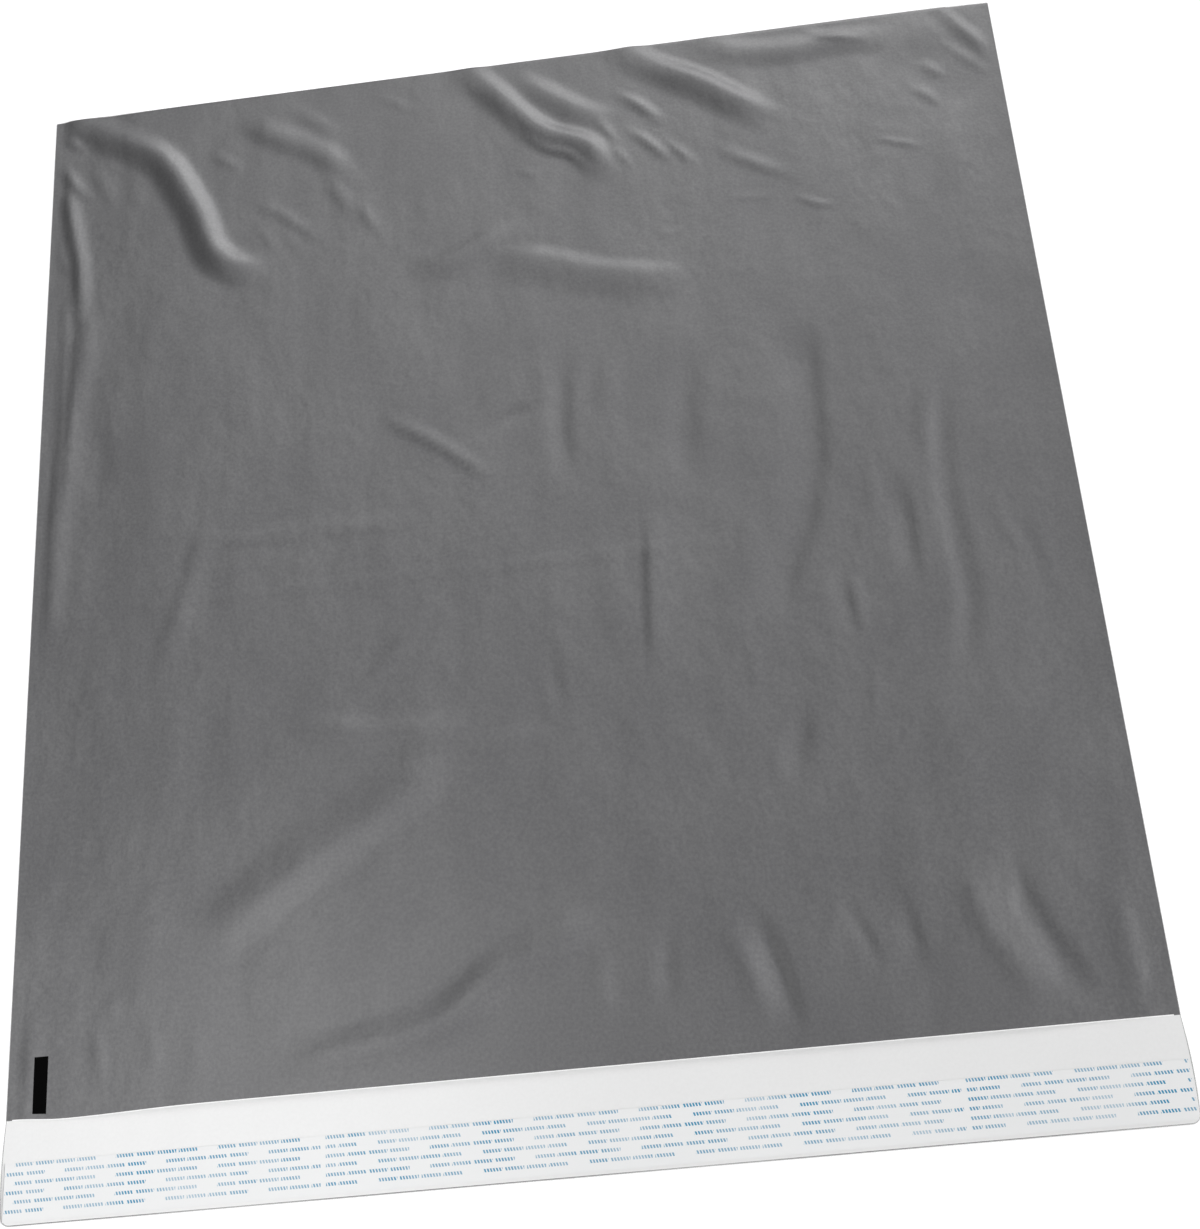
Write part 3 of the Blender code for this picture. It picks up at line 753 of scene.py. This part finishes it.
# The cut edge: the white inner layer, brighter than the white film as a painted highlight
film_cut_edge_and_highlight = film_material("polyethylene_cut_edge_and_painted_highlight", "#fafafa", "#ffffff", 0.01 * MM, 0.01 * MM)

# %% [markdown]
# ## Flexographic ink
#
# The black registration mark lets the packing machine find the end of each bag. It is a thin
# coat of flexographic ink, so it has the film's own surface, a little duller, and a black that
# is as deep as matte print gets.

# %% Black ink
ink_black, tree = new_material("flexographic_ink_black")
place = add(tree, "TexCoord").outputs["Object"]
grain = add(tree, "TexNoise", {"Vector": place, "Scale": 1000 / GRAIN_MM, "Detail": 2.0})
blacks = {"Color1": linear("#020202"), "Color2": linear("#040404")}
tint = add(tree, "MixRGB", {"Fac": grain.outputs[0], **blacks})
shader = add(
    tree,
    "BsdfPrincipled",
    {"Base Color": tint.outputs[0], "Roughness": 0.6, "Specular IOR Level": 0.04},
)
add(tree, "OutputMaterial", {"Surface": shader.outputs[0]})

# %% [markdown]
# ## The flap
#
# The back panel runs on past the mouth, with its white side up. It lies almost flat, rises
# evenly by up to a millimetre towards its free edge and waves a little along it. Its sides
# stand a millimetre proud of the panel, because there the film isn't drawn in by the weld, and
# its two outer corners are rounded.

# %% Flap surface
FLAP_LIFT = 0.9 * MM
FLAP_LEAST_LIFT = 0.4
FLAP_WAVE = 240 * MM
FLAP_CORNER_R = 4 * MM
CORNER_STEPS = 5
FLAP_ROWS = 13
FLAP_COLUMNS = 92


def flap_lift(x, share):
    """lift * (least + (1 - least) * (1 + sin(2 pi x / wave)) / 2) * share of the way to the edge."""
    wave = (1 + np.sin(2 * math.pi * x / FLAP_WAVE)) / 2
    return FLAP_LIFT * (FLAP_LEAST_LIFT + (1 - FLAP_LEAST_LIFT) * wave) * share


def flap_rows(xs):
    """Rows from the free edge to the mouth: half width + bulge * sin(pi * share), less the corner."""
    turns = np.radians(np.linspace(90, 0, CORNER_STEPS + 1))
    corner = FLAP_CORNER_R * np.column_stack([1 - np.sin(turns), 1 - np.cos(turns)])
    rest = np.linspace(FLAP_CORNER_R, FLAP_L, FLAP_ROWS + 1)[1:]
    steps = np.vstack([corner, np.column_stack([rest, np.zeros_like(rest)])])
    made = []
    for from_edge, inset in steps:
        share = 1 - from_edge / FLAP_L
        half = PANEL_W / 2 + FLAP_BULGE * math.sin(math.pi * share) - inset
        made.append(line_at(xs * half / (PANEL_W / 2), FLAP_EDGE_Y + from_edge, flap_lift(xs, share)))
    return np.array(made)


flap_xs = np.array([-PANEL_W / 2, *np.linspace(-SEAL_X, SEAL_X, FLAP_COLUMNS), PANEL_W / 2])
print("flap:", len(flap_xs), "columns")

# %% [markdown]
# ## Front panel
#
# Front panel, welds, bottom fold, back panel and flap are one piece of film, so they go into one
# web, stretch by stretch. The front's two sides are the same height field, a wall apart. The
# registration mark and the cut edge need no shape of their own: they are the quads whose
# middles lie inside them. The cut edge is the first row along the mouth, its white inner layer
# drawn brighter than the white film as a painted highlight.

# %% Front panel
web = Web()
panel_x, panel_y = np.meshgrid(column_xs, row_ys)
rise = panel_rise(panel_x.ravel(), panel_y.ravel()).reshape(panel_x.shape)
top = np.dstack([panel_x, panel_y + MOUTH_Y - mouth_sag(panel_x, panel_y), 2 * FILM_T + rise])

mid_x = (column_xs[1:] + column_xs[:-1]) / 2
mid_y = (row_ys[1:] + row_ys[:-1]) / 2
in_x = (mid_x > mark_xs[0]) & (mid_x < mark_xs[1])
in_y = (mid_y > mark_ys[0]) & (mid_y < mark_ys[1])
kinds = np.where(in_y[:, None] & in_x, INK, GREY)
# The first row along the mouth is the cut edge, with its painted highlight
kinds[0] = CUT_EDGE_AND_HIGHLIGHT
web.grid(top, kinds)
web.grid(top - (0, 0, FILM_T), WHITE, flip=True)
print(f"front panel: up to {rise.max() / MM:.1f} mm over the back one")

# %% [markdown]
# ## Side welds and rim
#
# The side weld is made by a hot blade, which melts the two panels together. What is left of them
# there is flat and two walls thick. Each weld is three grids: its top, its cut edge and its end
# at the mouth. Between the welds, the rim closes the front panel's wall along the mouth.

# %% Side welds and rim
side_ys = MOUTH_Y + row_ys
for sign in (-1, 1):
    edge = sign * PANEL_W / 2
    across = np.array(sorted((edge, sign * SEAL_X)))
    web.grid(np.stack([line_at(x, side_ys, 2 * FILM_T) for x in across], axis=1), GREY)
    web.grid([line_at(edge, side_ys, z) for z in (0, FILM_T, 2 * FILM_T)], GREY, flip=sign < 0)
    web.grid([line_at(across, MOUTH_Y, z) for z in (FILM_T, 2 * FILM_T)], WHITE)

lip_y = MOUTH_Y - mouth_sag(column_xs, 0)
# The rim along the mouth is cut edge too, with the same painted highlight
web.grid([line_at(column_xs, lip_y, level * FILM_T + rise[0]) for level in (1, 2)], CUT_EDGE_AND_HIGHLIGHT)
print(f"mouth: open by up to {rise[0].max() / MM:.1f} mm")

# %% [markdown]
# ## Bottom fold
#
# The web turns over softly, so the fold is a half round, outside and inside. Its height follows
# the panel where a gather runs over it, but however high it is, it reaches no further out than a
# fold with a gap of 0.8 mm. At turn t, a point lies at reach * cos(t) and centre + height * sin(t).
# At each end a small flat face closes the fold.

# %% Bottom fold
FOLD_STEPS = 6

wide = np.array([-PANEL_W / 2, *column_xs, PANEL_W / 2])
gap = np.concatenate([[0], rise[-1], [0]])
turns = np.linspace(math.pi / 2, -math.pi / 2, FOLD_STEPS + 1)
for wall, columns, kind in ((FILM_T, slice(None), GREY), (0, slice(1, -1), WHITE)):
    xs, height, centre = wide[columns], gap[columns] / 2 + wall, gap[columns] / 2 + FILM_T
    reach = np.minimum(height, FOLD_GAP / 2 + wall)
    rows = [line_at(xs, FOLD_Y + reach * math.cos(a), centre + height * math.sin(a)) for a in turns]
    web.grid(rows, kind, flip=wall == 0)
for sign in (-1, 1):
    edge = sign * PANEL_W / 2
    ring = line_at(edge, FOLD_Y + FILM_T * np.cos(turns), FILM_T * (1 + np.sin(turns)))
    web.outline([*ring, (edge, FOLD_Y, FILM_T)], GREY, flip=sign > 0)
print(f"bottom fold: {2 * FILM_T / MM:.2f} mm at the welds, up to {gap.max() / MM:.1f} mm between them")

# %% [markdown]
# ## Back panel and flap
#
# The back lies flat on the surface, so each of its sides is a single face. Its outline takes
# every point on the borders of its neighbours, because faces are sewn only where their points
# meet. The flap gets its wall in the same way as the front panel, and its cut edges are white.

# %% Back panel and flap
under = [line_at(flap_xs, MOUTH_Y, 0), line_at(PANEL_W / 2, side_ys[1:-1], 0)]
under += [line_at(wide[::-1], FOLD_Y, 0), line_at(-PANEL_W / 2, side_ys[-2:0:-1], 0)]
web.outline(np.vstack(under), GREY, flip=True)
within = [line_at(flap_xs[1:-1], MOUTH_Y, FILM_T), line_at(SEAL_X, side_ys[1:-1], FILM_T)]
within += [line_at(column_xs[::-1], FOLD_Y, FILM_T), line_at(-SEAL_X, side_ys[-2:0:-1], FILM_T)]
web.outline(np.vstack(within), WHITE)

flap = flap_rows(flap_xs)
raised = flap + (0, 0, FILM_T)
web.grid(flap, GREY, flip=True)
web.grid(raised, WHITE)
web.grid([flap[0], raised[0]], WHITE)
for column, flip in ((0, True), (-1, False)):
    web.grid([flap[:, column], raised[:, column]], WHITE, flip=flip)

film_mesh = web.mesh("film", (film_grey, film_white, ink_black, film_cut_edge_and_highlight))
film = bpy.data.objects.new("mailer_film", film_mesh)
bpy.context.collection.objects.link(film)
triangles = sum(len(face.vertices) - 2 for face in film.data.polygons)
print("film:", len(film.data.vertices), "points,", triangles, "triangles")

# %% [markdown]
# ## Adhesive and liner
#
# The hot melt is laid on the flap as one warm, soft band, a tenth of a millimetre thick. Over
# it goes the release liner, a thin film with silicone on one side, which is wider than the
# adhesive, so that a finger can lift it. Both are strips that follow the flap's own lift, each
# at the height at which its solid lies, and their lengths and widths are the solids' own.

# %% Bands on the flap
LAYER_GAP = 0.05 * MM
GLUE_T = 0.10 * MM
LINER_T = 0.05 * MM
BAND_ROWS = 7


def band(name, low, high, bottom, thickness, material):
    """A closed strip between two corners: its height is bottom + flap_lift at each x and y."""
    ys = np.linspace(low.y, high.y, BAND_ROWS)
    share = (high.x - low.x) / PANEL_W
    lifts = [flap_lift(flap_xs, 1 - (y - FLAP_EDGE_Y) / FLAP_L) for y in ys]
    under = np.array([line_at(flap_xs * share, y, bottom + lift) for y, lift in zip(ys, lifts)])
    over = under + (0, 0, thickness)
    web = Web()
    web.grid(under, 0, flip=True)
    web.grid(over, 0)
    web.grid([under[0], over[0]], 0)
    web.grid([under[-1], over[-1]], 0, flip=True)
    web.grid([under[:, 0], over[:, 0]], 0, flip=True)
    web.grid([under[:, -1], over[:, -1]], 0)
    made = bpy.data.objects.new(name, web.mesh(name, (material,)))
    bpy.context.collection.objects.link(made)
    return made


# %% [markdown]
# ## Hot melt
#
# Pressure-sensitive hot melt is a clear, slightly yellow rubber that stays tacky. It shows only
# as a line of gloss under the liner's edge, so it is smooth, with the IOR of rubber resin, and
# lets some light into itself.

# %% Hot melt adhesive
MELT_RIPPLE_MM = 3.0

hot_melt, tree = new_material("hot_melt_adhesive")
place = add(tree, "TexCoord").outputs["Object"]
ripple = add(tree, "TexNoise", {"Vector": place, "Scale": 1000 / MELT_RIPPLE_MM, "Detail": 2.0})
bumps = add(tree, "Bump", {"Height": ripple.outputs[0], "Distance": 0.05 * MM})
ambers = {"Color1": linear("#e2dcc8"), "Color2": linear("#ece7d6")}
tint = add(tree, "MixRGB", {"Fac": ripple.outputs[0], **ambers})
shader = add(
    tree,
    "BsdfPrincipled",
    {
        "Base Color": tint.outputs[0],
        "Normal": bumps.outputs[0],
        "Roughness": 0.18,
        "IOR": 1.52,
        "Subsurface Weight": 0.15,
        "Subsurface Scale": 1 * MM,
    },
)
add(tree, "OutputMaterial", {"Surface": shader.outputs[0]})

# %% [markdown]
# ## The printed liner
#
# The liner is a white film with a smooth silicone face, printed in one pale blue. The print is
# a pattern of bars, each of four hatched blocks, in six rows over the whole length of the strip.
# Every second row is shifted by half a repeat, and where the printing plate begins again, every
# third of a metre, the rows break off. A pattern that repeats is worked out from the place on
# the piece with a few sums: the remainder after a division says where in its repeat a point is.

# %% Liner print
ROW_PITCH_MM = 4.5
ROWS = 6
BAR_H_MM = 1.65
BAR_L_MM = 44.8
BAR_REPEAT_MM = 54.2
BLOCK_MM = 11.2
BLOCK_INKED = 0.88
HATCH_MM = 1.55
HATCH_INKED = 0.58
HATCH_SLANT = 0.35
PLATE_MM = 328
PLATE_JOINT_MM = 2.8
FIRST_ROW_MM = 2.8
PLATE_JOINT_X_MM = -136.5
PRESSURE_MM = 35.0
TONE_MM = 40.0

liner_printed, tree = new_material("silicone_liner_printed")
place = add(tree, "TexCoord").outputs["Object"]

# Millimetres along the strip, and across it from the lower side of the first row
axes = add(tree, "SeparateXYZ", {"Vector": place})
x_mm = add(tree, "Math", {0: axes.outputs["X"], 1: 1000.0}, operation="MULTIPLY").outputs[0]
y_mm = add(
    tree,
    "Math",
    {0: axes.outputs["Y"], 1: 1000.0, 2: -liner_low.y * 1000 - FIRST_ROW_MM},
    operation="MULTIPLY_ADD",
).outputs[0]

# Which row, and how far up in it
row = add(tree, "Math", {0: y_mm, 1: ROW_PITCH_MM}, operation="DIVIDE").outputs[0]
row_number = add(tree, "Math", {0: row}, operation="FLOOR").outputs[0]
row_share = add(tree, "Math", {0: row}, operation="FRACT").outputs[0]
from_centre = add(tree, "Math", {0: row_share, 1: 0.5}, operation="SUBTRACT").outputs[0]
from_centre = add(tree, "Math", {0: from_centre}, operation="ABSOLUTE").outputs[0]
in_row = add(
    tree,
    "Math",
    {0: from_centre, 1: BAR_H_MM / ROW_PITCH_MM / 2},
    operation="LESS_THAN",
).outputs[0]
above = add(tree, "Math", {0: row_number, 1: -0.5}, operation="GREATER_THAN").outputs[0]
below = add(tree, "Math", {0: row_number, 1: ROWS - 0.5}, operation="LESS_THAN").outputs[0]

# Where on the printing plate, whose joint stays clear
plate = add(tree, "Math", {0: x_mm, 1: PLATE_JOINT_X_MM}, operation="SUBTRACT").outputs[0]
plate = add(tree, "Math", {0: plate, 1: PLATE_MM}, operation="FLOORED_MODULO").outputs[0]
off_joint = add(tree, "Math", {0: plate, 1: PLATE_JOINT_MM}, operation="GREATER_THAN").outputs[0]

# Which bar along the row, every second row shifted by half a repeat
odd = add(tree, "Math", {0: row_number, 1: 2.0}, operation="FLOORED_MODULO").outputs[0]
shift = add(
    tree,
    "Math",
    {0: odd, 1: BAR_REPEAT_MM / 2, 2: BAR_REPEAT_MM / 2 - PLATE_JOINT_MM},
    operation="MULTIPLY_ADD",
).outputs[0]
along = add(tree, "Math", {0: plate, 1: shift}, operation="ADD").outputs[0]
in_repeat = add(tree, "Math", {0: along, 1: BAR_REPEAT_MM}, operation="FLOORED_MODULO").outputs[0]
in_bar = add(tree, "Math", {0: in_repeat, 1: BAR_L_MM}, operation="LESS_THAN").outputs[0]
block = add(tree, "Math", {0: in_repeat, 1: BLOCK_MM}, operation="FLOORED_MODULO").outputs[0]
in_block = add(tree, "Math", {0: block, 1: BLOCK_MM * BLOCK_INKED}, operation="LESS_THAN").outputs[0]

# The hatch, slanted by half a millimetre over the height of a bar
slanted = add(tree, "Math", {0: y_mm, 1: HATCH_SLANT, 2: x_mm}, operation="MULTIPLY_ADD").outputs[0]
stroke = add(tree, "Math", {0: slanted, 1: HATCH_MM}, operation="FLOORED_MODULO").outputs[0]
in_stroke = add(tree, "Math", {0: stroke, 1: HATCH_MM * HATCH_INKED}, operation="LESS_THAN").outputs[0]

# Ink only where all of them agree, thinner here and there as the plate presses unevenly
covered = in_row
for part in (above, below, in_bar, in_block, in_stroke, off_joint):
    covered = add(tree, "Math", {0: covered, 1: part}, operation="MULTIPLY").outputs[0]
pressure = add(tree, "TexNoise", {"Vector": place, "Scale": 1000 / PRESSURE_MM, "Detail": 3.0})
weight = add(
    tree,
    "MapRange",
    {"Value": pressure.outputs[0], "From Min": 0.35, "From Max": 0.65, "To Min": 0.5},
)
covered = add(tree, "Math", {0: covered, 1: weight.outputs[0]}, operation="MULTIPLY").outputs[0]
sheet_tone = add(tree, "TexNoise", {"Vector": place, "Scale": 1000 / TONE_MM, "Detail": 2.0})
whites = {"Color1": linear("#e6e7e8"), "Color2": linear("#ebebeb")}
base = add(tree, "MixRGB", {"Fac": sheet_tone.outputs[0], **whites})
tint = add(tree, "MixRGB", {"Fac": covered, "Color1": base.outputs[0], "Color2": linear("#2387ad")})
grain = add(tree, "TexNoise", {"Vector": place, "Scale": 1000 / GRAIN_MM, "Detail": 2.0})
bumps = add(tree, "Bump", {"Height": grain.outputs[0], "Distance": 0.01 * MM})
shader = add(
    tree,
    "BsdfPrincipled",
    {"Base Color": tint.outputs[0], "Normal": bumps.outputs[0], "Roughness": 0.34, "IOR": 1.45},
)
add(tree, "OutputMaterial", {"Surface": shader.outputs[0]})

# %% [markdown]
# ## Laying the bands
#
# From the flap up come the film's own wall, the hot melt and the liner, with a gap of 0.05 mm
# under each band. Real layers touch, but two faces at one height can't be told apart.

# %% Lay the bands
glue = band("adhesive_band", glue_low, glue_high, FILM_T + LAYER_GAP, GLUE_T, hot_melt)
liner_bottom = FILM_T + LAYER_GAP + GLUE_T + LAYER_GAP
liner = band("liner_strip", liner_low, liner_high, liner_bottom, LINER_T, liner_printed)
print("liner", [round(side * 1000, 1) for side in liner.dimensions])

# %% [markdown]
# ## Say what each piece is
#
# Every piece rides on the frame's one body and stands for its solid. The film was cut as one
# rectangle 1.291 m long and folded once, and the flap's rounded corners take next to nothing
# from it. The liner lies on the flap with the adhesive between them.

# %% Attach the pieces and hide their solids
for piece, node, slot in (
    (film, "film_bag", "mailer_film"),
    (glue, "adhesive_strip", "hot_melt"),
    (liner, "release_liner", "liner_film"),
):
    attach(piece, "root")
    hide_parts(node)
